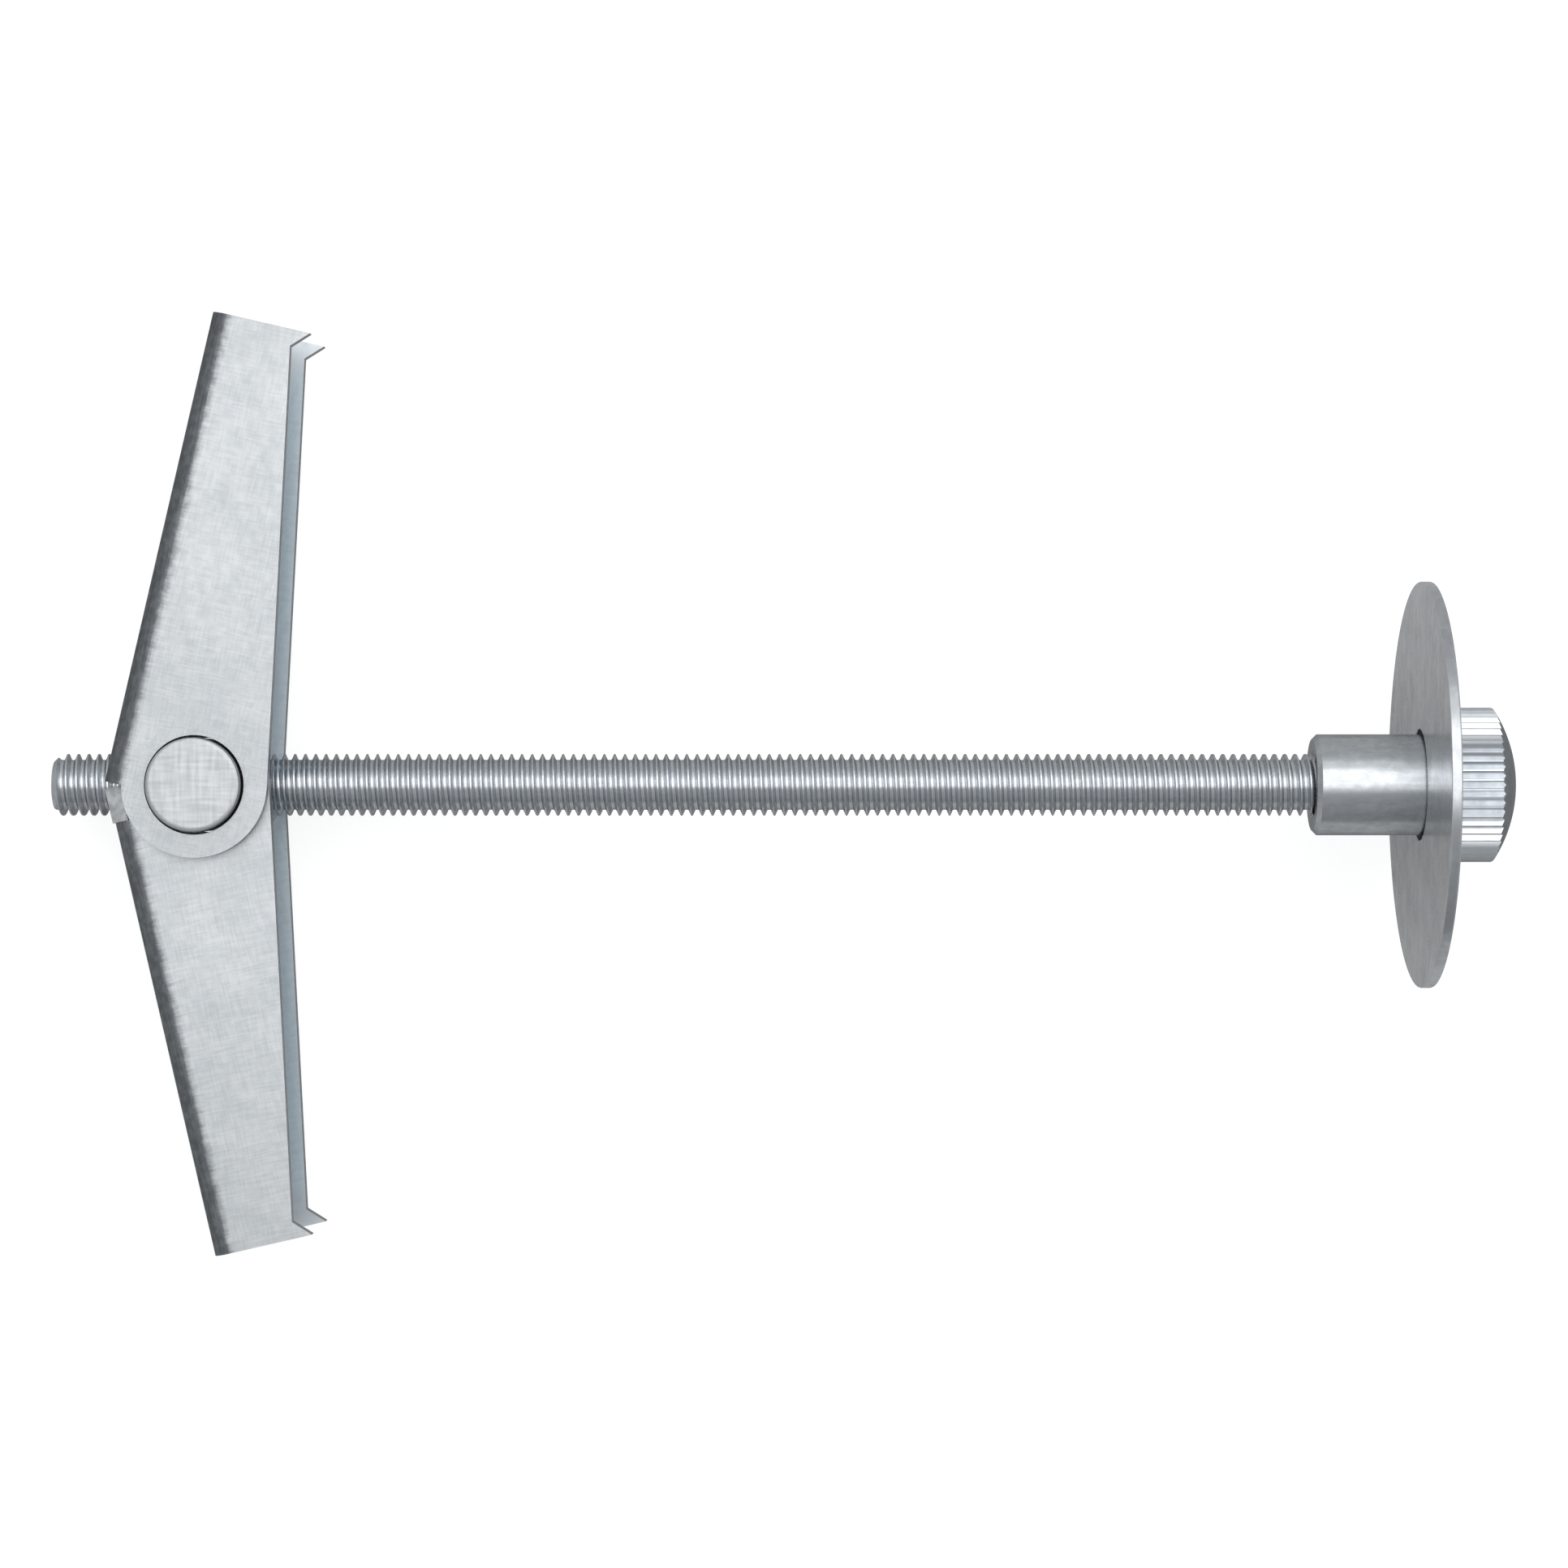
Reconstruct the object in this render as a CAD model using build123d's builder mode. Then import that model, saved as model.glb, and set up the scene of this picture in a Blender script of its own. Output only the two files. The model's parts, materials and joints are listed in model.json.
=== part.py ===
from build123d import *
from math import atan2, cos, degrees, radians, sin, sqrt, tan
import os

os.makedirs("parts", exist_ok=True)

# Two-wing spring toggle: a threaded rod, two sheet-steel wings that swing on a cross barrel, and a
# washer with a knurled sleeve nut at the other end. Lengths are millimetres and angles are degrees.
# The pivot of the wings is the origin while the pieces are modelled: +X runs along the rod to the nut,
# +Y is the way the upper wing points, and +Z is the pivot axis.

# Threaded rod
rod_diameter = 6.0
rod_tail = 14.5
rod_end_chamfer = 0.7
thread_clearance = 0.05

# Pivot barrel
barrel_wall = 1.5
barrel_overhang = 1.4
barrel_edge = 0.12
barrel_clearance = 0.25

# Torsion spring, one coil each side of the rod, with flats along its fine wire
spring_wire = 0.35
spring_turns = 2
spring_wire_sides = 8
spring_coil_gap = 0.05
spring_side_gap = 0.075
spring_barrel_gap = 0.12
spring_seat_gap = 0.05
spring_bend_radius = 0.8

# Wings
sheet_thickness = 1.5
bend_radius = 1.8
ear_gap = 0.1
ear_rim = 2.2
web_clearance = 0.15
wing_reach = 44.4
open_lean = 13.0
edge_taper = 10.0
claw_depth = 1.6
claw_angle = 45.0
rod_slot_clearance = 0.35
stop_gap = 0.09
stop_tab_length = 3.4

# Washer
pivot_to_washer = 117.8
washer_diameter = 39.4
washer_thickness = 1.0
washer_hole_gap = 0.5
washer_edge = 0.12

# Knurled sleeve nut
nut_seat_gap = 0.02
sleeve_wall = 1.9
sleeve_length = 11.4
sleeve_chamfer = 0.45
head_ledge = 2.15
head_length = 5.9
dome_height = 2.3
knurl_teeth = 51
knurl_depth = 0.45
socket_width = 5.0
socket_sides = 6
socket_depth = 3.0
socket_floor = 1.5

# Sizes that follow from those above
half_turn = 180
quarter_turn = half_turn / 2
rod_radius = rod_diameter / 2
rod_bore_radius = rod_radius + thread_clearance
barrel_radius = rod_radius + barrel_wall
ear_hole_radius = barrel_radius + barrel_clearance
ear_radius = ear_hole_radius + ear_rim

spring_pitch = spring_wire + spring_coil_gap
spring_rise = spring_turns * spring_pitch
spring_room = spring_wire + spring_rise + 2 * spring_side_gap
inner_ear_face = rod_radius + spring_room
outer_ear_face = inner_ear_face + 2 * sheet_thickness + ear_gap
channel_width = 2 * outer_ear_face - sheet_thickness - ear_gap
channel_low = outer_ear_face - channel_width
barrel_half_length = outer_ear_face + barrel_overhang

lean = radians(open_lean)
taper = radians(edge_taper)
web_inner = ear_radius + web_clearance
web_outer = web_inner + sheet_thickness
stop_end = (stop_gap / 2 - web_inner * sin(lean)) / cos(lean)

nut_start = pivot_to_washer + washer_thickness + nut_seat_gap - sleeve_length
head_start = nut_start + sleeve_length
head_end = head_start + head_length
nut_end = head_end + dome_height
sleeve_radius = rod_radius + sleeve_wall
washer_hole_radius = sleeve_radius + washer_hole_gap
head_radius = washer_hole_radius + head_ledge
nut_bore_depth = nut_end - nut_start - socket_depth - socket_floor
rod_length = rod_tail + nut_start + nut_bore_depth

# Threaded rod: a plain bar of the thread's outside diameter
with BuildPart() as threaded_rod:
    with BuildSketch(Plane.YZ.offset(-rod_tail)):
        Circle(rod_radius)
    extrude(amount=rod_length)
    chamfer(threaded_rod.edges().filter_by(GeomType.CIRCLE), length=rod_end_chamfer)

# Pivot barrel: the nut that the rod screws through and the pin that the wings swing on
with BuildPart() as pivot_barrel:
    with BuildSketch(Plane.XY):
        Circle(barrel_radius)
    extrude(amount=barrel_half_length, both=True)
    chamfer(pivot_barrel.edges().filter_by(GeomType.CIRCLE), length=barrel_edge)
    with BuildSketch(Plane.YZ):
        Circle(rod_bore_radius)
    extrude(amount=2 * barrel_radius, both=True, mode=Mode.SUBTRACT)

# Torsion spring: half of the wire from the middle of the bridge to the tip of a free leg, then mirrored.
# The bridge lies on the web of the lower wing and the free legs lie on the web of the upper wing.
# Each half turn of a coil is an arc in a plane that leans by a quarter of the pitch.
coil_radius = barrel_radius + spring_barrel_gap + spring_wire / 2
coil_low = rod_radius + spring_side_gap + spring_wire / 2
coil_high = coil_low + spring_rise
arc_radius = sqrt(coil_radius**2 + (spring_pitch / 4) ** 2)
leg_length = (web_inner / cos(lean) - coil_radius - spring_wire / 2 - spring_seat_gap) / tan(lean)

with BuildPart() as torsion_spring:
    with BuildLine() as wire:
        FilletPolyline(
            (-coil_radius, -leg_length, 0),
            (-coil_radius, -leg_length, coil_high),
            (-coil_radius, 0, coil_high),
            radius=spring_bend_radius,
        )
        for turn in range(spring_turns):
            top = coil_high - turn * spring_pitch
            left = (-coil_radius, 0, top)
            right = (coil_radius, 0, top - spring_pitch / 2)
            next_left = (-coil_radius, 0, top - spring_pitch)
            ThreePointArc(left, (0, arc_radius, top - spring_pitch / 4), right)
            ThreePointArc(right, (0, -arc_radius, top - spring_pitch * 3 / 4), next_left)
        Line((-coil_radius, 0, coil_low), (-coil_radius, leg_length, coil_low))
    with BuildSketch(Plane.XY):
        with Locations((-coil_radius, -leg_length)):
            RegularPolygon(spring_wire / 2, spring_wire_sides)
    sweep(path=wire.wires()[0])
    mirror(about=Plane.XY)

# Upper wing: a channel bent from one sheet. Its own x runs from the pivot to the claws, its y to the web.
wing_plane = Plane(origin=(0, 0, 0), x_dir=(sin(lean), cos(lean), 0), z_dir=(0, 0, 1))
section_plane = Plane(
    origin=wing_plane.from_local_coords((wing_reach, 0, 0)),
    x_dir=wing_plane.y_dir,
    z_dir=wing_plane.x_dir,
)
web_plane = Plane(
    origin=wing_plane.from_local_coords((0, web_outer, 0)),
    x_dir=wing_plane.x_dir,
    z_dir=wing_plane.y_dir,
)
claw_root_reach = wing_reach - claw_depth
claw_root_height = claw_root_reach * tan(taper) - ear_radius / cos(taper)
claw_tip_height = claw_root_height - claw_depth * tan(radians(claw_angle))
edge_tangent = (ear_radius * sin(taper), -ear_radius * cos(taper))
ear_break = (stop_end, sqrt(ear_radius**2 - stop_end**2))
slot_centre = -(web_inner + sheet_thickness / 2) * tan(lean)
slot_radius = rod_radius / cos(lean) + rod_slot_clearance
slot_run = 2 * ear_radius
tab_width = -slot_radius - channel_low

with BuildPart() as upper_wing:
    with BuildSketch(section_plane):
        with BuildLine():
            FilletPolyline(
                (-web_outer, outer_ear_face),
                (web_outer, outer_ear_face),
                (web_outer, channel_low),
                (-web_outer, channel_low),
                radius=bend_radius,
            )
            offset(amount=sheet_thickness, side=Side.RIGHT)
        make_face()
    extrude(amount=-(wing_reach + web_outer))
    # Side outline: web, claws, tapered free edge and the round ear at the pivot
    with BuildSketch(wing_plane.offset(channel_low)):
        with BuildLine():
            Polyline(
                ear_break,
                (stop_end, web_outer),
                (wing_reach, web_outer),
                (wing_reach, claw_tip_height),
                (claw_root_reach, claw_root_height),
                edge_tangent,
            )
            ThreePointArc(edge_tangent, (-ear_radius, 0), ear_break)
        make_face()
    extrude(amount=channel_width, mode=Mode.INTERSECT)
    # Stop tab: beside the inner ear the web runs on flat instead of bending into the ear
    with BuildSketch(wing_plane.offset(channel_low)):
        with Locations((stop_end, 0)):
            Rectangle(stop_tab_length, web_outer, align=(Align.MIN, Align.MIN))
        Circle(ear_radius, mode=Mode.SUBTRACT)
    extrude(amount=tab_width, mode=Mode.SUBTRACT)
    with BuildSketch(wing_plane.offset(channel_low)):
        with Locations((stop_end, web_inner)):
            Rectangle(stop_tab_length, sheet_thickness, align=(Align.MIN, Align.MIN))
    extrude(amount=tab_width)
    # Slot in the web for the rod, open at the pivot end
    with BuildSketch(web_plane):
        with Locations((slot_centre - slot_run / 2, 0)):
            SlotCenterToCenter(slot_run, 2 * slot_radius)
    extrude(amount=-2 * sheet_thickness, mode=Mode.SUBTRACT)
    # Ear holes for the barrel
    with BuildSketch(wing_plane.offset(channel_low)):
        Circle(ear_hole_radius)
    extrude(amount=channel_width, mode=Mode.SUBTRACT)

# Lower wing: the same pressing, turned half a turn about the rod
with BuildPart() as lower_wing:
    add(upper_wing.part.rotate(Axis.X, half_turn))

# Washer
with BuildPart() as washer:
    with BuildSketch(Plane.YZ.offset(pivot_to_washer)):
        Circle(washer_diameter / 2)
        Circle(washer_hole_radius, mode=Mode.SUBTRACT)
    extrude(amount=washer_thickness)
    chamfer(washer.edges().filter_by(GeomType.CIRCLE), length=washer_edge)

# Knurled sleeve nut: a toothed bar turned to a domed end, with a plain sleeve and a blind bore
knurl_step = 2 * half_turn / knurl_teeth
groove_radius = head_radius - knurl_depth
knurl_outline = []
for tooth in range(knurl_teeth):
    groove_angle = radians(quarter_turn + tooth * knurl_step)
    ridge_angle = radians(quarter_turn + (tooth + 1 / 2) * knurl_step)
    knurl_outline.append((groove_radius * cos(groove_angle), groove_radius * sin(groove_angle)))
    knurl_outline.append((head_radius * cos(ridge_angle), head_radius * sin(ridge_angle)))
dome_radius = (head_radius**2 + dome_height**2) / (2 * dome_height)
dome_middle = dome_radius - sqrt(dome_radius**2 - (head_radius / 2) ** 2)

with BuildPart() as sleeve_nut:
    with BuildSketch(Plane.YZ.offset(head_start)):
        with BuildLine():
            Polyline(*knurl_outline, close=True)
        make_face()
    extrude(amount=nut_end - head_start)
    with BuildSketch(Plane.XY):
        with BuildLine():
            Polyline((nut_end, 0), (head_start, 0), (head_start, head_radius), (head_end, head_radius))
            ThreePointArc((head_end, head_radius), (nut_end - dome_middle, head_radius / 2), (nut_end, 0))
        make_face()
    revolve(axis=Axis.X, mode=Mode.INTERSECT)
    with BuildSketch(Plane.YZ.offset(nut_start)):
        Circle(sleeve_radius)
    extrude(amount=sleeve_length)
    chamfer(sleeve_nut.edges().sort_by(Axis.X)[0], length=sleeve_chamfer)
    with BuildSketch(Plane.YZ.offset(nut_start)):
        Circle(rod_bore_radius)
    extrude(amount=nut_bore_depth, mode=Mode.SUBTRACT)
    with BuildSketch(Plane.YZ.offset(nut_end)):
        RegularPolygon(socket_width / 2, socket_sides, major_radius=False)
    extrude(amount=-socket_depth, mode=Mode.SUBTRACT)

# Rest pose: lying on the rim of the washer and the lower end of the barrel
pieces = {
    "threaded_rod": threaded_rod.part,
    "pivot_barrel": pivot_barrel.part,
    "torsion_spring": torsion_spring.part,
    "upper_wing": upper_wing.part,
    "lower_wing": lower_wing.part,
    "washer": washer.part,
    "sleeve_nut": sleeve_nut.part,
}
rest_drop = washer_diameter / 2 - barrel_half_length
rest_span = pivot_to_washer + barrel_radius - barrel_edge
rest_pitch = atan2(rest_drop, rest_span)
rest_tilt = Location((0, 0, 0), (0, -degrees(rest_pitch), 0))
laid_box = Compound(children=[piece.moved(rest_tilt) for piece in pieces.values()]).bounding_box()
rest_shift = Location((-laid_box.center().X, -laid_box.center().Y, -laid_box.min.Z))
rest_place = rest_shift * rest_tilt

for name, piece in pieces.items():
    piece.label = name
    piece.move(rest_place)
    export_step(piece, f"parts/{name}.step")
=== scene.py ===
import json
from math import ceil, cos, pi, radians, sin, sqrt

import bmesh
import bpy
from mathutils import Matrix, Vector


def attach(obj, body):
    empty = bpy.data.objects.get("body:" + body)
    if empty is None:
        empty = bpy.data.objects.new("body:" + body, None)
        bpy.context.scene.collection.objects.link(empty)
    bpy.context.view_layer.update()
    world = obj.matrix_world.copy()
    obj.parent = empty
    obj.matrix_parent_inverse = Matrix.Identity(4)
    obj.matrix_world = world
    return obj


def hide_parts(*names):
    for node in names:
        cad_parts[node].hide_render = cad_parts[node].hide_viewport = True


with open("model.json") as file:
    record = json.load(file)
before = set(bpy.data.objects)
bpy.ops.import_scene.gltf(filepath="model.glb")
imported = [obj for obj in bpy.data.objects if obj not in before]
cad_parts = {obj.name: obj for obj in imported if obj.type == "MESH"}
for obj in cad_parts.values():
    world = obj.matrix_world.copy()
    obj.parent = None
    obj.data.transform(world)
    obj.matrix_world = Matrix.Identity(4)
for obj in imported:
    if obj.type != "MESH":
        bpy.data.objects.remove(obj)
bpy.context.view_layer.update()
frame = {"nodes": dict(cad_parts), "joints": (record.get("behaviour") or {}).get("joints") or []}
MM = 0.001

# Pieces are modelled in millimetres in the pivot's own frame: x runs along the rod to the nut,
# y the way the upper wing points, and z along the pivot axis. to_row takes them into the row frame.
joints = {joint["name"]: joint for joint in frame["joints"]}
pivot = Vector(joints["upper_wing_fold"]["pos_m"])
along = -Vector(joints["screw_travel"]["axis"]).normalized()
upward = -Vector(joints["upper_wing_fold"]["axis"]).normalized()
across = upward.cross(along)
turn_to_row = Matrix((along, across, upward)).transposed().to_4x4()
to_row = Matrix.Translation(pivot) @ turn_to_row @ Matrix.Scale(MM, 4)
from_row = to_row.inverted()


def reach(node):
    """Lowest and highest corner of a CAD node in the pivot's frame."""
    points = [from_row @ vertex.co for vertex in frame["nodes"][node].data.vertices]
    low = Vector(min(point[axis] for point in points) for axis in range(3))
    high = Vector(max(point[axis] for point in points) for axis in range(3))
    return low, high


rod_low, rod_high = reach("threaded_rod")
barrel_high = reach("pivot_barrel")[1]
spring_low, spring_high = reach("torsion_spring")
washer_low, washer_high = reach("washer")
nut_low = reach("sleeve_nut")[0]
wing_low, wing_high = reach("upper_wing")

# Camera, from the photograph's perspective
VIEW_ALONG = 56.2
VIEW_ACROSS = 0.08
VIEW_HEIGHT = 391.1
VIEW_LENS = 92.53
VIEW_SENSOR = 36.0
VIEW_NEAREST = 0.01

# Thread
THREAD_PITCH = 1.0
THREAD_STEPS = 40
THREAD_PHASE = 0.774
THREAD_ROOT = 0.58
THREAD_CREST = ((0.0, 0.015), (0.075, 0.0), (0.15, 0.015))
THREAD_VALLEY = ((0.385, 0.92), (0.44, 0.985), (0.575, 1.0), (0.71, 0.985), (0.765, 0.92))
THREAD_PROFILE = THREAD_CREST + THREAD_VALLEY
THREAD_SHARP = radians(38.0)
ROD_CHAMFER = 0.7
rod_radius = rod_high.y

# Barrel
BARREL_STEPS = 128
BARREL_EDGE = 0.25
BORE_GAP = 0.05
barrel_radius = barrel_high.y
bore_radius = rod_radius + BORE_GAP

# Spring
SPRING_WIRE = 0.35
SPRING_TURNS = 2
SPRING_SIDES = 12
SPRING_STEPS = 40
SPRING_BEND = 0.8
SPRING_GAP = 0.075
BEND_STEPS = 8

# Wings
OPEN_LEAN = radians(13.0)
SHEET = 1.5
BEND_RADIUS = 1.8
CUT_EDGE = 0.06
FLAT_ANGLE = radians(0.4)
SHARP_ANGLE = radians(32.0)
WEB_OUTER = 8.6
BEND_FACETS = 12
BEND_SLACK = 0.06
WELD = 0.001
CUT_FACES = 1
INSIDE_FACES = 2
TAB_FACES = 3

# A wing's faces are told apart by the parts of their normals along the wing's own axes, and by their places
END_CUT_PART = 0.05
EDGE_CUT_PART = 0.1
EDGE_CUT_SLACK = 0.1
TAB_SIDE_PART = 0.999
INSIDE_PART = 0.5

# The sheet's finish: colours, and features per millimetre along the wing, through its channel
# and along the pivot
SHEET_COLOURS = ((0.495, 0.517, 0.531), (0.594, 0.608, 0.622))
# Painted shade: colours of the dark strips along the bends, standing in for the darker reflections there
BEND_SHADE_COLOURS = ((0.166, 0.178, 0.188), (0.258, 0.271, 0.282))
SMUDGE_COLOUR = (0.415, 0.438, 0.454)
SMUDGE_NEAR = 5.0
SMUDGE_FAR = 13.0
ROLL_MARKS = (0.4, 5.0, 5.0)
CROSS_MARKS = (5.0, 0.4, 0.4)
CLOUDS = (0.22, 0.22, 0.22)
SPECKS = (1.3, 1.3, 1.3)
FINE_DETAIL = 6.0
HATCH_RANGE = (1.25, 1.75)
MOTTLE_RANGE = (0.3, 0.7)
SMUDGE_RANGE = (0.5, 0.64)
SMUDGE_MOST = 0.6
SHADE_MOTTLE_RANGE = (0.42, 0.6)
FRAY_CROSS = 0.6
FRAY_SPECKS = 0.5
FRAY_MEAN = 0.55
SHEET_ROUGHNESS = (0.37, 0.45)
SHEET_DEPTH = 0.006
STRIP_SET_BACK = 0.25 * BEND_RADIUS
STRIP_OUTER = 1.05 * BEND_RADIUS
STRIP_INNER = 0.48 * BEND_RADIUS
# Painted light: the lower wing gets a lighter copy of the same sheet zinc, its colours raised by this factor
LOWER_WING_PAINTED_LIGHT = 1.07
# The painted light on the inside faces fades to a lower colour over these distances back from the tip, where
# the inside is open to the light
TIP_FADE_START = 5.0
TIP_FADE_END = 2.0
TIP_PAINTED_LIGHT = (0.708, 0.746, 0.777)
wing_middle = (wing_high.z + wing_low.z) / 2
wing_half = (wing_high.z - wing_low.z) / 2

# Washer
WASHER_STEPS = 256
WASHER_EDGE = 0.12
WASHER_HOLE = 5.4
washer_radius = washer_high.y

# Sleeve nut
SLEEVE_RADIUS = 4.9
SLEEVE_LENGTH = 11.4
SLEEVE_CHAMFER = 0.45
BORE_CHAMFER = 0.25
HEAD_LENGTH = 5.9
DOME_HEIGHT = 2.3
KNURL_TEETH = 51
KNURL_SAMPLES = 16
KNURL_CREST = 0.125
KNURL_DEPTH = 0.45
SOCKET_WIDTH = 5.0
SOCKET_SIDES = 6
SOCKET_DEPTH = 3.0
SOCKET_FLOOR = 1.5
SOCKET_FLAT = 0.9
DRILL_POINT = 0.6
DRILL_TIP = 0.1
EDGE_BREAK = 0.06
DOME_ROWS = 12
DOME_FACES = 1
KNURL_FACES = 2
head_start = nut_low.x + SLEEVE_LENGTH
head_end = head_start + HEAD_LENGTH
nut_end = head_end + DOME_HEIGHT
head_radius = -nut_low.z

# Finishes of zinc plate: two colours, the features per millimetre of each streak noise along the rod,
# across it and along the pivot (inside a wing, along it, through its channel and along the pivot), the
# range of roughness, the height of the streaks in millimetres, and the tint where it is seen edge on.
# The first ranges are those of the noise that the colours and the roughness are spread over.
GRAZING = 0.6
TONE_RANGE = (0.38, 0.62)
ROUGHNESS_RANGE = (0.35, 0.65)
ROD_FINISH = {
    "light": (0.72, 0.739, 0.764),
    "dark": (0.62, 0.639, 0.664),
    "streaks": ((0.6, 2.5, 2.5), (2.0, 0.6, 0.6)),
    "roughness": (0.2, 0.3),
    "depth": 0.002,
}
BARREL_FINISH = {
    "light": (0.571, 0.583, 0.592),
    "dark": (0.485, 0.503, 0.517),
    "streaks": ((0.3, 3.0, 1.0), (3.0, 0.3, 1.0)),
    "roughness": (0.34, 0.44),
    "depth": 0.006,
}
SPRING_FINISH = {
    "light": (0.646, 0.669, 0.692),
    "dark": (0.508, 0.531, 0.554),
    "streaks": ((1.0, 4.0, 4.0),),
    "roughness": (0.25, 0.35),
    "depth": 0.003,
}
# Painted shade: the tab's faces get a darker copy of the sheet's zinc
TAB_PAINTED_SHADE_FINISH = {
    "light": (0.346, 0.36, 0.372),
    "dark": (0.282, 0.294, 0.303),
    "streaks": ((1.5, 1.5, 1.5),),
    "roughness": (0.34, 0.44),
    "depth": 0.006,
}
CUT_FINISH = {
    "light": (0.662, 0.678, 0.695),
    "dark": (0.508, 0.522, 0.535),
    "streaks": ((2.0, 2.0, 0.4), (0.5, 0.5, 3.0)),
    "roughness": (0.32, 0.45),
    "depth": 0.01,
}
# Painted light: the channel's inside faces get a lighter, bluish copy of the zinc, standing in for light that
# the channel's shade keeps off them
INSIDE_PAINTED_LIGHT_FINISH = {
    "light": (0.82, 0.9, 0.95),
    "dark": (0.68, 0.76, 0.805),
    "streaks": ((1.6, 0.5, 1.0), (0.4, 1.4, 1.0)),
    "roughness": (0.34, 0.46),
    "depth": 0.006,
}
WASHER_FINISH = {
    "light": (0.69, 0.705, 0.72),
    "dark": (0.53, 0.545, 0.56),
    "streaks": ((1.0, 0.25, 0.9), (1.0, 0.8, 1.8), (0.3, 0.3, 0.3)),
    "roughness": (0.2, 0.32),
    "depth": 0.004,
    "grazing": 1.0,
}
NUT_FINISH = {
    "light": (0.68, 0.7, 0.722),
    "dark": (0.55, 0.572, 0.592),
    "streaks": ((1.2, 1.2, 1.2), (0.3, 2.0, 2.0)),
    "roughness": (0.22, 0.31),
    "depth": 0.004,
}
# Painted shade: the dome gets a darker copy of the nut's zinc, standing in for the darker reflections on it
DOME_PAINTED_SHADE_FINISH = {
    "light": (0.395, 0.413, 0.425),
    "dark": (0.312, 0.324, 0.337),
    "streaks": ((4.0, 1.2, 1.2), (0.5, 0.5, 0.5)),
    "roughness": (0.34, 0.44),
    "depth": 0.004,
}
# Painted light: the knurl gets a lighter copy of the nut's zinc, standing in for the light reflected between
# its teeth
KNURL_PAINTED_LIGHT_FINISH = {
    "light": (0.755, 0.783, 0.81),
    "dark": (0.67, 0.698, 0.725),
    "streaks": ((0.3, 3.0, 3.0), (1.0, 1.0, 1.0)),
    "roughness": (0.16, 0.24),
    "depth": 0.003,
    "grazing": 0.5,
}


def ring(centre, first, second, radius, steps):
    """Points of a circle about centre in the plane of two unit axes; radius may depend on the angle."""
    points = []
    for step in range(steps):
        angle = 2 * pi * step / steps
        size = radius(angle) if callable(radius) else radius
        place = centre(angle) if callable(centre) else centre
        points.append(Vector(place) + size * (cos(angle) * Vector(first) + sin(angle) * Vector(second)))
    return points


def rod_ring(x, radius, steps):
    """A ring about the rod's axis; x and radius may depend on the angle."""
    centre = (lambda angle: (x(angle), 0, 0)) if callable(x) else (x, 0, 0)
    return ring(centre, (0, 1, 0), (0, 0, 1), radius, steps)


def skin(rings, closed=False):
    """Points and faces of a skin over rings, capped at both ends or closed into a loop."""
    steps = len(rings[0])
    points = [point for loop in rings for point in loop]
    spans = len(rings) if closed else len(rings) - 1
    faces = []
    for row in range(spans):
        here = row * steps
        there = (row + 1) % len(rings) * steps
        for step in range(steps):
            after = (step + 1) % steps
            faces.append((here + step, here + after, there + after, there + step))
    if not closed:
        faces.append(tuple(reversed(range(steps))))
        faces.append(tuple(range(len(points) - steps, len(points))))
    return points, faces


def tube(path, radius, sides):
    """A round wire along a path of points."""
    rings = []
    normal = None
    for index, point in enumerate(path):
        before = path[max(index - 1, 0)]
        after = path[min(index + 1, len(path) - 1)]
        direction = (after - before).normalized()
        normal = direction.orthogonal() if normal is None else normal - direction * normal.dot(direction)
        normal.normalize()
        rings.append(ring(point, normal, direction.cross(normal), radius, sides))
    return skin(rings)


def arc(centre, start, end, steps):
    """Points of the arc about centre from start to end, the shorter way round."""
    first = Vector(start) - Vector(centre)
    last = Vector(end) - Vector(centre)
    turn = first.rotation_difference(last)
    turns = [Matrix.Rotation(turn.angle * step / steps, 3, turn.axis) for step in range(steps + 1)]
    return [Vector(centre) + part @ first for part in turns]


def finish_mesh(mesh, sharp_angle=SHARP_ANGLE):
    """Turn all faces outward and shade them smooth up to the sharp angle."""
    shape = bmesh.new()
    shape.from_mesh(mesh)
    bmesh.ops.recalc_face_normals(shape, faces=shape.faces)
    shape.to_mesh(mesh)
    shape.free()
    mesh.polygons.foreach_set("use_smooth", [True] * len(mesh.polygons))
    mesh.set_sharp_from_angle(angle=sharp_angle)
    mesh.update()


def add_piece(name, mesh, body, node, slot, *materials):
    """Link a piece whose mesh is already in the row frame, and tie it to its CAD body and node; the slot is
    not used.
    """
    piece = bpy.data.objects.new(name, mesh)
    bpy.context.scene.collection.objects.link(piece)
    for material in materials:
        mesh.materials.append(material)
    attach(piece, body)
    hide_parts(node)
    return piece


def mesh_from(name, points, faces):
    """A mesh in the row frame from points in the pivot's frame."""
    mesh = bpy.data.meshes.new(name)
    mesh.from_pydata([tuple(to_row @ Vector(point)) for point in points], [], faces)
    finish_mesh(mesh)
    return mesh


def feed(tree, socket, value):
    """Link a socket to another one, or set its value."""
    if isinstance(value, bpy.types.NodeSocket):
        tree.links.new(value, socket)
    else:
        socket.default_value = value


def maths(tree, operation, first, second=0.0):
    """Output of a maths node on two sockets or numbers."""
    node = tree.nodes.new("ShaderNodeMath")
    node.operation = operation
    feed(tree, node.inputs[0], first)
    feed(tree, node.inputs[1], second)
    return node.outputs[0]


def rescale(tree, value, low, high, to_low, to_high, smooth=False):
    """Take value from one range into another, held at both ends."""
    node = tree.nodes.new("ShaderNodeMapRange")
    if smooth:
        node.interpolation_type = "SMOOTHSTEP"
    for socket, amount in zip(node.inputs, (value, low, high, to_low, to_high)):
        feed(tree, socket, amount)
    return node.outputs[0]


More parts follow.
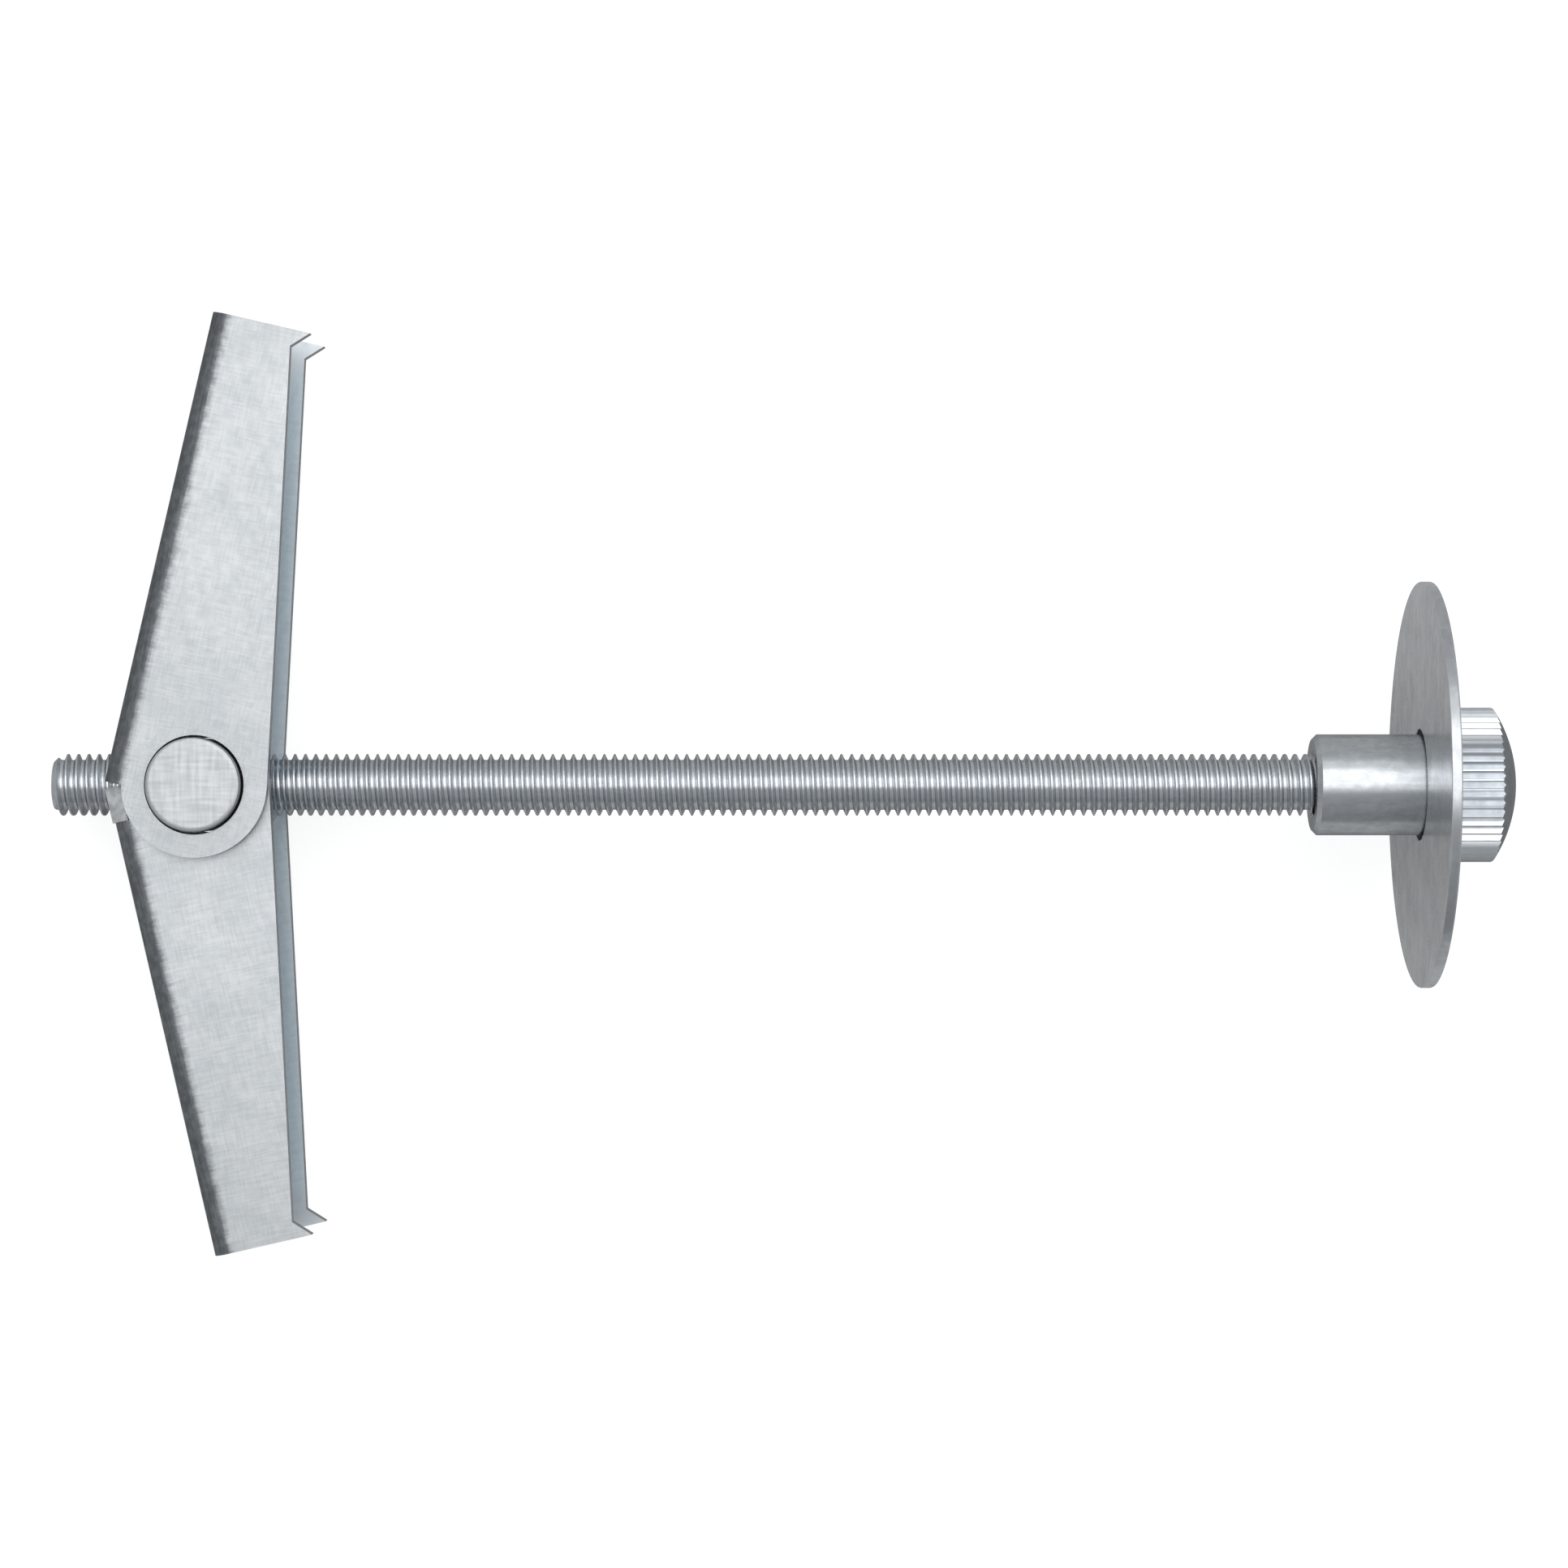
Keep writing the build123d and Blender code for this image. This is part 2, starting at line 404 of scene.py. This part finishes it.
def length_of(tree, first, second):
    """Length of the hypotenuse over two lengths."""
    squares = [maths(tree, "MULTIPLY", side, side) for side in (first, second)]
    return maths(tree, "SQRT", maths(tree, "ADD", *squares))


def blend_colours(tree, factor, first, second):
    """Mix of two colours; factor 1 gives the second."""
    node = tree.nodes.new("ShaderNodeMix")
    node.data_type = "RGBA"
    feed(tree, node.inputs[0], factor)
    feed(tree, node.inputs[6], first)
    feed(tree, node.inputs[7], second)
    return node.outputs[2]


def grain(tree, place, stretch, detail=4.0):
    """Noise whose features have the given number per millimetre along each axis."""
    scaled = tree.nodes.new("ShaderNodeVectorMath")
    scaled.operation = "MULTIPLY"
    feed(tree, scaled.inputs[0], place)
    scaled.inputs[1].default_value = stretch
    noise = tree.nodes.new("ShaderNodeTexNoise")
    noise.inputs["Scale"].default_value = 1.0
    noise.inputs["Detail"].default_value = detail
    feed(tree, noise.inputs["Vector"], scaled.outputs[0])
    return noise.outputs[0]


def new_tree(name, grazing=GRAZING):
    """A material with a plain metal shader; grazing is its tint where it is seen edge on."""
    material = bpy.data.materials.new(name)
    material.use_nodes = True
    tree = material.node_tree
    shader = tree.nodes["Principled BSDF"]
    shader.inputs["Metallic"].default_value = 1.0
    shader.inputs["Specular Tint"].default_value = (grazing, grazing, grazing, 1.0)
    return material, tree, shader


def own_place(tree, space):
    """The shaded point in a piece's own millimetres; space takes the row frame there."""
    coordinates = tree.nodes.new("ShaderNodeTexCoord")
    mapping = tree.nodes.new("ShaderNodeMapping")
    offset, turn, scale = space.decompose()
    mapping.inputs["Location"].default_value = offset
    mapping.inputs["Rotation"].default_value = turn.to_euler()
    mapping.inputs["Scale"].default_value = scale
    feed(tree, mapping.inputs["Vector"], coordinates.outputs["Object"])
    return mapping.outputs[0]


def relief(tree, shader, height, depth):
    """Bump of the given depth in millimetres."""
    bump = tree.nodes.new("ShaderNodeBump")
    bump.inputs["Strength"].default_value = 1.0
    bump.inputs["Distance"].default_value = depth * MM
    feed(tree, bump.inputs["Height"], height)
    feed(tree, shader.inputs["Normal"], bump.outputs[0])


def zinc(name, space, light, dark, streaks, roughness, depth, grazing=GRAZING, painted_light_fade=None):
    """Zinc-plated steel with streaks.

    The last argument gives two places along the piece, between which its painted light fades to a lower
    colour, and that colour.
    """
    material, tree, shader = new_tree(name, grazing)
    place = own_place(tree, space)
    pattern = 0.0
    for stretch in streaks:
        pattern = maths(tree, "ADD", grain(tree, place, stretch), pattern)
    pattern = maths(tree, "DIVIDE", pattern, float(len(streaks)))
    tone = rescale(tree, pattern, *TONE_RANGE, 0.0, 1.0)
    colour = blend_colours(tree, tone, (*dark, 1.0), (*light, 1.0))
    # Where given, the painted light fades to a lower colour near the end
    if painted_light_fade:
        start, end, dull = painted_light_fade
        parts = tree.nodes.new("ShaderNodeSeparateXYZ")
        feed(tree, parts.inputs[0], place)
        near_end = rescale(tree, parts.outputs[0], start, end, 0.0, 1.0)
        colour = blend_colours(tree, near_end, colour, (*dull, 1.0))
    feed(tree, shader.inputs["Base Color"], colour)
    smooth, rough = roughness
    feed(tree, shader.inputs["Roughness"], rescale(tree, pattern, *ROUGHNESS_RANGE, rough, smooth))
    relief(tree, shader, pattern, depth)
    return material


def sheet_zinc(name, space, painted_light_level):
    """Galvanised sheet: a faint cross-hatch of rolling marks, and painted shade in dark strips along its
    bends.

    The last argument scales its colours; on the lower wing it raises them as painted light.
    """
    material, tree, shader = new_tree(name)
    place = own_place(tree, space)
    lengthwise = grain(tree, place, ROLL_MARKS)
    crosswise = grain(tree, place, CROSS_MARKS)
    clouds = grain(tree, place, CLOUDS, FINE_DETAIL)
    specks = grain(tree, place, SPECKS, FINE_DETAIL)
    hatch = maths(tree, "ADD", lengthwise, crosswise)
    mottle = maths(tree, "MULTIPLY", maths(tree, "ADD", clouds, specks), 0.5)
    tone = rescale(tree, maths(tree, "ADD", hatch, mottle), *HATCH_RANGE, 0.0, 1.0)
    dull, bright = [(*[painted_light_level * part for part in colour], 1.0) for colour in SHEET_COLOURS]
    sheet = blend_colours(tree, tone, dull, bright)
    parts = tree.nodes.new("ShaderNodeSeparateXYZ")
    feed(tree, parts.inputs[0], place)

    # Smudges around the pivot
    from_pivot = length_of(tree, parts.outputs[0], parts.outputs[1])
    near_pivot = rescale(tree, from_pivot, SMUDGE_FAR, SMUDGE_NEAR, 0.0, 1.0)
    smudge = maths(tree, "MULTIPLY", near_pivot, rescale(tree, specks, *SMUDGE_RANGE, 0.0, SMUDGE_MOST))
    sheet = blend_colours(tree, smudge, sheet, (*SMUDGE_COLOUR, 1.0))

    # Painted shade: dark strips with ragged edges along both bends, standing in for the darker reflections
    # there
    off_middle = maths(tree, "ABSOLUTE", maths(tree, "SUBTRACT", parts.outputs[2], wing_middle))
    aside = maths(tree, "SUBTRACT", off_middle, wing_half)
    behind = maths(tree, "SUBTRACT", parts.outputs[1], WEB_OUTER - STRIP_SET_BACK)
    ragged = maths(
        tree,
        "ADD",
        maths(tree, "MULTIPLY", crosswise, FRAY_CROSS),
        maths(tree, "MULTIPLY", specks, FRAY_SPECKS),
    )
    fray = maths(tree, "SUBTRACT", ragged, FRAY_MEAN)
    frayed = maths(tree, "ADD", length_of(tree, aside, behind), fray)
    bend_shade_mask = rescale(tree, frayed, STRIP_OUTER, STRIP_INNER, 0.0, 1.0, smooth=True)
    shade_mottle = maths(tree, "MULTIPLY", maths(tree, "ADD", lengthwise, specks), 0.5)
    dark, pale = [(*[painted_light_level * part for part in colour], 1.0) for colour in BEND_SHADE_COLOURS]
    bend_shade = blend_colours(tree, rescale(tree, shade_mottle, *SHADE_MOTTLE_RANGE, 0.0, 1.0), dark, pale)
    feed(tree, shader.inputs["Base Color"], blend_colours(tree, bend_shade_mask, sheet, bend_shade))
    smooth, rough = SHEET_ROUGHNESS
    feed(tree, shader.inputs["Roughness"], rescale(tree, mottle, *MOTTLE_RANGE, rough, smooth))
    relief(tree, shader, hatch, SHEET_DEPTH)
    return material


# Threaded rod: a helical skin over the thread's profile, cut off square at both ends
def thread_mesh():
    """The rod's thread as one skin that climbs by a pitch each turn."""
    rows_per_turn = len(THREAD_PROFILE)
    first_turn = rod_low.x - 2 * THREAD_PITCH
    first_turn += (THREAD_PHASE - first_turn) % THREAD_PITCH - THREAD_PROFILE[1][0] * THREAD_PITCH
    turns = ceil((rod_high.x - first_turn) / THREAD_PITCH) + 1
    rows = (turns + 1) * rows_per_turn + 1
    points = []
    for row in range(rows):
        share, dip = THREAD_PROFILE[row % rows_per_turn]
        for step in range(THREAD_STEPS):
            angle = 2 * pi * step / THREAD_STEPS
            x = first_turn + (row // rows_per_turn + share + step / THREAD_STEPS) * THREAD_PITCH
            inside = max(0.0, min(x - rod_low.x, rod_high.x - x))
            radius = min(rod_radius - dip * THREAD_ROOT, rod_radius - ROD_CHAMFER + inside)
            points.append((x, radius * cos(angle), radius * sin(angle)))
    faces = []
    for row in range(turns * rows_per_turn):
        for step in range(THREAD_STEPS):
            here = row * THREAD_STEPS + step
            after = here + 1 if step + 1 < THREAD_STEPS else (row + rows_per_turn) * THREAD_STEPS
            faces.append((here, after, after + THREAD_STEPS, here + THREAD_STEPS))
    mesh = bpy.data.meshes.new("threaded_rod_thread")
    mesh.from_pydata(points, [], faces)
    shape = bmesh.new()
    shape.from_mesh(mesh)
    for end, outward in ((rod_low.x, -1), (rod_high.x, 1)):
        everything = shape.verts[:] + shape.edges[:] + shape.faces[:]
        cut = bmesh.ops.bisect_plane(
            shape,
            geom=everything,
            plane_co=(end, 0, 0),
            plane_no=(outward, 0, 0),
            clear_outer=True,
        )
        rim = [part for part in cut["geom_cut"] if isinstance(part, bmesh.types.BMEdge)]
        bmesh.ops.edgeloop_fill(shape, edges=rim)
    loose = [vertex for vertex in shape.verts if not vertex.link_faces]
    bmesh.ops.delete(shape, geom=loose, context="VERTS")
    shape.to_mesh(mesh)
    shape.free()
    mesh.transform(to_row)
    finish_mesh(mesh, THREAD_SHARP)
    return mesh


rod_zinc = zinc("rod_zinc", from_row, **ROD_FINISH)
add_piece("threaded_rod_thread", thread_mesh(), "rod", "threaded_rod", "rod_steel", rod_zinc)


# Pivot barrel: a turned pin with a cross bore for the rod
def barrel_mesh():
    """The barrel with rounded ends, drilled by a boolean."""

    def barrel_ring(z, radius):
        return ring((0, 0, z), (1, 0, 0), (0, 1, 0), radius, BARREL_STEPS)

    half = barrel_high.z
    inset = BARREL_EDGE * (1 - sqrt(0.5))
    ends = [
        (half, barrel_radius - 2 * BARREL_EDGE),
        (half, barrel_radius - BARREL_EDGE),
        (half - inset, barrel_radius - inset),
        (half - BARREL_EDGE, barrel_radius),
    ]
    rings = [barrel_ring(-z, radius) for z, radius in ends]
    rings += [barrel_ring(z, radius) for z, radius in reversed(ends)]
    barrel = bpy.data.objects.new("barrel_blank", mesh_from("barrel_blank", *skin(rings)))
    bore = [rod_ring(x, bore_radius, BARREL_STEPS) for x in (-2 * barrel_radius, 2 * barrel_radius)]
    cutter = bpy.data.objects.new("barrel_bore", mesh_from("barrel_bore", *skin(bore)))
    for blank in (barrel, cutter):
        bpy.context.scene.collection.objects.link(blank)
    drilling = barrel.modifiers.new("bore", "BOOLEAN")
    drilling.object = cutter
    drilling.solver = "EXACT"
    mesh = bpy.data.meshes.new_from_object(barrel.evaluated_get(bpy.context.evaluated_depsgraph_get()))
    for blank in (barrel, cutter):
        bpy.data.objects.remove(blank)
    mesh.name = "pivot_barrel_turned"
    finish_mesh(mesh)
    return mesh


barrel_zinc = zinc("barrel_zinc", from_row, **BARREL_FINISH)
add_piece("pivot_barrel_turned", barrel_mesh(), "barrel", "pivot_barrel", "barrel_steel", barrel_zinc)

# Torsion spring: its coils stay on the barrel, its free legs go with the upper wing and its bridge with
# the lower wing
coil_radius = -spring_low.x - SPRING_WIRE / 2
coil_high = spring_high.z - SPRING_WIRE / 2
coil_low = rod_radius + SPRING_GAP + SPRING_WIRE / 2
leg_length = spring_high.y
spring_zinc = zinc("spring_zinc", from_row, **SPRING_FINISH)
pitch = (coil_high - coil_low) / SPRING_TURNS


def coil_path(side):
    """Two turns of wire, from the bridge's end of the coil to the free leg's."""
    path = []
    for step in range(SPRING_TURNS * SPRING_STEPS + 1):
        share = step / SPRING_STEPS
        z = coil_high - pitch * share
        path.append(Vector((-coil_radius * cos(2 * pi * share), coil_radius * sin(2 * pi * share), side * z)))
    return path


def add_wires(name, paths, body):
    """One piece of spring wire along the given paths."""
    points, faces = [], []
    for path in paths:
        more_points, more_faces = tube(path, SPRING_WIRE / 2, SPRING_SIDES)
        faces += [tuple(index + len(points) for index in face) for face in more_faces]
        points += more_points
    add_piece(name, mesh_from(name, points, faces), body, "torsion_spring", "spring_steel", spring_zinc)


add_wires("spring_coils", [coil_path(side) for side in (1, -1)], "barrel")
legs = []
for side in (1, -1):
    legs.append([Vector((-coil_radius, y, side * coil_low)) for y in (0, leg_length)])
add_wires("spring_legs", legs, "wing_up")
bridge_end = coil_high - SPRING_BEND
corner = SPRING_BEND - leg_length
bridge = [Vector((-coil_radius, 0, coil_high))]
bridge += arc(
    (-coil_radius, corner, bridge_end),
    (-coil_radius, corner, coil_high),
    (-coil_radius, corner - SPRING_BEND, bridge_end),
    BEND_STEPS,
)
bridge += [Vector((point.x, point.y, -point.z)) for point in reversed(bridge)]
add_wires("spring_bridge", [bridge], "wing_down")


# Wings: the CAD sheet with its flat faces whole again, its bends rounder and its cut and inside faces
# told apart
def round_bends(shape, space):
    """Split the facets of both bends into finer ones and set their points on the true radius."""
    back = space.inverted()
    turn_back = back.to_quaternion()
    bend_y = WEB_OUTER - BEND_RADIUS
    for side in (1, -1):
        bend_z = wing_middle + side * (wing_half - BEND_RADIUS)

        def in_bend(point):
            return point.y > bend_y - BEND_SLACK and side * (point.z - bend_z) > -BEND_SLACK

        for step in range(1, BEND_FACETS):
            angle = pi / 2 * step / BEND_FACETS
            facets = []
            for face in shape.faces:
                if all(in_bend(space @ vertex.co) for vertex in face.verts):
                    facets.append(face)
            around = {part for face in facets for part in (*face.verts, *face.edges, face)}
            across_bend = turn_back @ Vector((0, -sin(angle), side * cos(angle)))
            bend_centre = back @ Vector((0, bend_y, bend_z))
            bmesh.ops.bisect_plane(shape, geom=list(around), plane_co=bend_centre, plane_no=across_bend)
        for vertex in shape.verts:
            place = space @ vertex.co
            if not in_bend(place):
                continue
            out = Vector((0, place.y - bend_y, place.z - bend_z))
            for radius in (BEND_RADIUS, BEND_RADIUS - SHEET):
                if abs(out.length - radius) < BEND_SLACK:
                    vertex.co = back @ (place + out * (radius / out.length - 1))


def wing_mesh(node, space):
    """A wing's mesh from its CAD node; space takes the row frame to the wing's own."""
    mesh = frame["nodes"][node].data.copy()
    mesh.name = node + "_sheet"
    mesh.materials.clear()
    shape = bmesh.new()
    shape.from_mesh(mesh)
    bmesh.ops.remove_doubles(shape, verts=shape.verts, dist=WELD * MM)
    bmesh.ops.dissolve_limit(shape, angle_limit=FLAT_ANGLE, verts=shape.verts, edges=shape.edges)
    round_bends(shape, space)
    turn = space.to_quaternion()
    web_inner = WEB_OUTER - SHEET
    for face in shape.faces:
        normal = turn @ face.normal
        middle = space @ face.calc_center_median()
        end_cut = abs(normal.x) > END_CUT_PART
        edge_cut = abs(normal.z) < EDGE_CUT_PART and middle.y < web_inner - EDGE_CUT_SLACK
        tab_side = abs(normal.z) > TAB_SIDE_PART and middle.y > web_inner
        inside_flange = normal.z * (middle.z - wing_middle) < -INSIDE_PART
        inside_web = normal.y < -INSIDE_PART and middle.y > web_inner - BEND_RADIUS
        if tab_side:
            face.material_index = TAB_FACES
        elif end_cut or edge_cut:
            face.material_index = CUT_FACES
        elif inside_flange or inside_web:
            face.material_index = INSIDE_FACES
    shape.to_mesh(mesh)
    shape.free()
    finish_mesh(mesh)
    return mesh


tab_shaded_zinc = zinc("tab_shaded_zinc", from_row, **TAB_PAINTED_SHADE_FINISH)
cut_zinc = zinc("cut_zinc", from_row, **CUT_FINISH)
wing_turn = Matrix.Rotation(OPEN_LEAN - pi / 2, 4, "Z")
half_turn = Matrix.Rotation(pi, 4, "X")
# The lower wing's sheet is a lighter copy of the upper wing's, as painted light
for node, body, space, painted_light_level in (
    ("upper_wing", "wing_up", wing_turn @ from_row, 1.0),
    ("lower_wing", "wing_down", wing_turn @ half_turn @ from_row, LOWER_WING_PAINTED_LIGHT),
):
    tip = max((space @ vertex.co).x for vertex in frame["nodes"][node].data.vertices)
    painted_light_fade = (tip - TIP_FADE_START, tip - TIP_FADE_END, TIP_PAINTED_LIGHT)
    # Inside faces: painted light, fading to less near the tip
    inside_painted_light_zinc = zinc(node + "_inside_painted_light_zinc", space, **INSIDE_PAINTED_LIGHT_FINISH, painted_light_fade=painted_light_fade)
    finishes = (sheet_zinc(node + "_zinc", space, painted_light_level), cut_zinc, inside_painted_light_zinc, tab_shaded_zinc)
    wing = add_piece(node + "_sheet", wing_mesh(node, space), body, node, "wing_sheet", *finishes)
    edges = wing.modifiers.new("broken_edges", "BEVEL")
    edges.width = CUT_EDGE * MM
    edges.segments = 2
    edges.limit_method = "ANGLE"
    edges.angle_limit = SHARP_ANGLE
    edges.use_clamp_overlap = True
    edges.material = CUT_FACES
    flats = wing.modifiers.new("flat_faces", "WEIGHTED_NORMAL")
    flats.keep_sharp = True


# Washer: a flat ring with rounded edges
def washer_mesh():
    """The washer, turned from a profile with rounded corners."""
    inset = WASHER_EDGE * (1 - sqrt(0.5))
    near, far = washer_low.x, washer_high.x
    corner = [
        (2 * WASHER_EDGE, 0.0),
        (WASHER_EDGE, 0.0),
        (inset, inset),
        (0.0, WASHER_EDGE),
        (0.0, 2 * WASHER_EDGE),
    ]
    profile = [(near + x, WASHER_HOLE + r) for x, r in corner]
    profile += [(near + x, washer_radius - r) for x, r in reversed(corner)]
    profile += [(far - x, washer_radius - r) for x, r in corner]
    profile += [(far - x, WASHER_HOLE + r) for x, r in reversed(corner)]
    rings = [rod_ring(x, radius, WASHER_STEPS) for x, radius in profile]
    return mesh_from("washer_ring", *skin(rings, closed=True))


washer_zinc = zinc("washer_zinc", from_row, **WASHER_FINISH)
add_piece("washer_ring", washer_mesh(), "washer", "washer", "washer_steel", washer_zinc)


# Sleeve nut: one skin from the bottom of the bore, over the sleeve, knurl and dome, to the bottom of
# the socket
def nut_mesh():
    """The nut, with its faces sorted into sleeve, knurl and dome."""
    steps = KNURL_TEETH * KNURL_SAMPLES
    dome_radius = (head_radius**2 + DOME_HEIGHT**2) / (2 * DOME_HEIGHT)

    def knurl(angle):
        share = ((angle - pi / 2) * KNURL_TEETH / (2 * pi)) % 1.0
        return head_radius - KNURL_DEPTH * max(abs(2 * share - 1), KNURL_CREST)

    def socket(angle):
        sector = 2 * pi / SOCKET_SIDES
        return SOCKET_WIDTH / 2 / cos(angle % sector - sector / 2)

    def dome(radius):
        return nut_end - dome_radius + sqrt(dome_radius**2 - radius**2)

    bore_end = nut_end - SOCKET_DEPTH - SOCKET_FLOOR
    start = nut_low.x
    plain = [
        (bore_end, bore_radius),
        (start + BORE_CHAMFER, bore_radius),
        (start, bore_radius + BORE_CHAMFER),
        (start, SLEEVE_RADIUS - SLEEVE_CHAMFER),
        (start + SLEEVE_CHAMFER, SLEEVE_RADIUS),
        (head_start, SLEEVE_RADIUS),
    ]
    rings = [rod_ring(x, radius, steps) for x, radius in plain]
    rings.append(rod_ring(head_start, lambda angle: knurl(angle) - EDGE_BREAK, steps))
    rings.append(rod_ring(head_start + EDGE_BREAK, knurl, steps))
    for row in range(DOME_ROWS + 1):
        share = row / DOME_ROWS

        def reach_in(angle, share=share):
            return knurl(angle) * (1 - share) + (socket(angle) + EDGE_BREAK) * share

        rings.append(rod_ring(lambda angle, reach_in=reach_in: dome(reach_in(angle)), reach_in, steps))
    rings.append(rod_ring(lambda angle: dome(socket(angle)) - EDGE_BREAK, socket, steps))
    floor_x = nut_end - SOCKET_DEPTH
    rings.append(rod_ring(floor_x, socket, steps))
    rings.append(rod_ring(floor_x, SOCKET_WIDTH / 2 * SOCKET_FLAT, steps))
    rings.append(rod_ring(floor_x - DRILL_POINT, SOCKET_WIDTH / 2 * DRILL_TIP, steps))
    mesh = mesh_from("sleeve_nut_turned", *skin(rings))
    for face in mesh.polygons:
        middle = from_row @ face.center
        if middle.x > head_end:
            face.material_index = DOME_FACES
        elif middle.yz.length > head_radius - 2 * KNURL_DEPTH:
            face.material_index = KNURL_FACES
    return mesh


nut_zinc = zinc("nut_zinc", from_row, **NUT_FINISH)
dome_shaded_zinc = zinc("dome_shaded_zinc", from_row, **DOME_PAINTED_SHADE_FINISH)
knurl_lit_zinc = zinc("knurl_lit_zinc", from_row, **KNURL_PAINTED_LIGHT_FINISH)
add_piece("sleeve_nut_turned", nut_mesh(), "rod", "sleeve_nut", "nut_steel", nut_zinc, dome_shaded_zinc, knurl_lit_zinc)

# Floor: pale, shown white to the eye, with the object's shadow kept by its diffuse share; clear from below
FLOOR_HALF = 4.0
FLOOR_COLOUR = (0.42, 0.42, 0.42, 1.0)
FLOOR_ROUGHNESS = 0.9
FLOOR_GLOW = 0.8
FLOOR_IN_METAL = 0.18
floor_mesh = bpy.data.meshes.new("floor")
floor_corners = [(x * FLOOR_HALF, y * FLOOR_HALF, 0) for x, y in ((-1, -1), (1, -1), (1, 1), (-1, 1))]
floor_mesh.from_pydata(floor_corners, [], [(0, 1, 2, 3)])
floor = bpy.data.objects.new("floor", floor_mesh)
bpy.context.scene.collection.objects.link(floor)
floor_paint = bpy.data.materials.new("floor_paint")
floor_paint.use_nodes = True
tree = floor_paint.node_tree
paint = tree.nodes["Principled BSDF"]
paint.inputs["Base Color"].default_value = FLOOR_COLOUR
paint.inputs["Roughness"].default_value = FLOOR_ROUGHNESS
paint.inputs["Specular IOR Level"].default_value = 0.0
paint.inputs["Emission Color"].default_value = (1.0, 1.0, 1.0, 1.0)
path = tree.nodes.new("ShaderNodeLightPath")
mirrored = maths(tree, "MULTIPLY", path.outputs["Is Glossy Ray"], FLOOR_IN_METAL)
seen = maths(tree, "MAXIMUM", path.outputs["Is Camera Ray"], mirrored)
seen = maths(tree, "MAXIMUM", seen, path.outputs["Is Transmission Ray"])
feed(tree, paint.inputs["Emission Strength"], maths(tree, "MULTIPLY", seen, FLOOR_GLOW))
under = tree.nodes.new("ShaderNodeNewGeometry").outputs["Backfacing"]
clear = tree.nodes.new("ShaderNodeBsdfTransparent")
one_sided = tree.nodes.new("ShaderNodeMixShader")
for socket, source in zip(one_sided.inputs, (under, paint.outputs[0], clear.outputs[0])):
    feed(tree, socket, source)
feed(tree, tree.nodes["Material Output"].inputs["Surface"], one_sided.outputs[0])
floor_mesh.materials.append(floor_paint)

# Light: an overhead softbox on the side the upper wing points to, brighter in its middle, in a dim,
# slightly blue room. Each panel has its near edge, its far edge and its radiance.
SOFTBOX_HEIGHT = 0.65
SOFTBOX_LENGTH = 0.8
SOFTBOX_PANELS = {
    "softbox_front": (-0.16, -0.09, 0.455),
    "softbox_middle": (-0.09, 0.44, 1.3),
    "softbox_back": (0.44, 0.95, 0.39),
}
for name, (near, far, radiance) in SOFTBOX_PANELS.items():
    panel = bpy.data.lights.new(name, "AREA")
    panel.shape = "RECTANGLE"
    panel.size = SOFTBOX_LENGTH
    panel.size_y = far - near
    panel.energy = pi * radiance * panel.size * panel.size_y
    panel_object = bpy.data.objects.new(name, panel)
    panel_object.location = (0, (near + far) / 2, SOFTBOX_HEIGHT)
    bpy.context.scene.collection.objects.link(panel_object)

ROOM_COLOUR = (0.955, 0.99, 1.025, 1.0)
ROOM_BASE = 0.065
ROOM_ABOVE = 0.26
ROOM_SIDES = 0.227
ROOM_ENDS = 0.325
ROOM_TILT = 0.13
world = bpy.data.worlds.new("room")
bpy.context.scene.world = world
world.use_nodes = True
tree = world.node_tree
background = tree.nodes["Background"]
background.inputs["Color"].default_value = ROOM_COLOUR
coordinates = tree.nodes.new("ShaderNodeTexCoord")
parts = tree.nodes.new("ShaderNodeSeparateXYZ")
feed(tree, parts.inputs[0], coordinates.outputs["Generated"])
above = maths(tree, "MULTIPLY", maths(tree, "MAXIMUM", parts.outputs[2], 0.0), ROOM_ABOVE)
sides = maths(tree, "MULTIPLY", maths(tree, "ABSOLUTE", parts.outputs[1]), ROOM_SIDES)
tilt = maths(tree, "MULTIPLY", parts.outputs[1], ROOM_TILT)
ends = maths(tree, "MULTIPLY", maths(tree, "ABSOLUTE", parts.outputs[0]), ROOM_ENDS)
walls = maths(tree, "ADD", maths(tree, "ADD", sides, ends), tilt)
strength = maths(tree, "ADD", maths(tree, "ADD", above, walls), ROOM_BASE)
feed(tree, background.inputs["Strength"], strength)

# Camera
camera = bpy.data.cameras.new("camera")
camera.lens = VIEW_LENS
camera.sensor_width = VIEW_SENSOR
camera.clip_start = VIEW_NEAREST
camera_object = bpy.data.objects.new("camera", camera)
camera_place = to_row @ Vector((VIEW_ALONG, VIEW_ACROSS, VIEW_HEIGHT))
camera_object.matrix_world = Matrix.Translation(camera_place) @ turn_to_row
bpy.context.scene.collection.objects.link(camera_object)
bpy.context.scene.camera = camera_object

bpy.context.scene.view_settings.view_transform = "Standard"
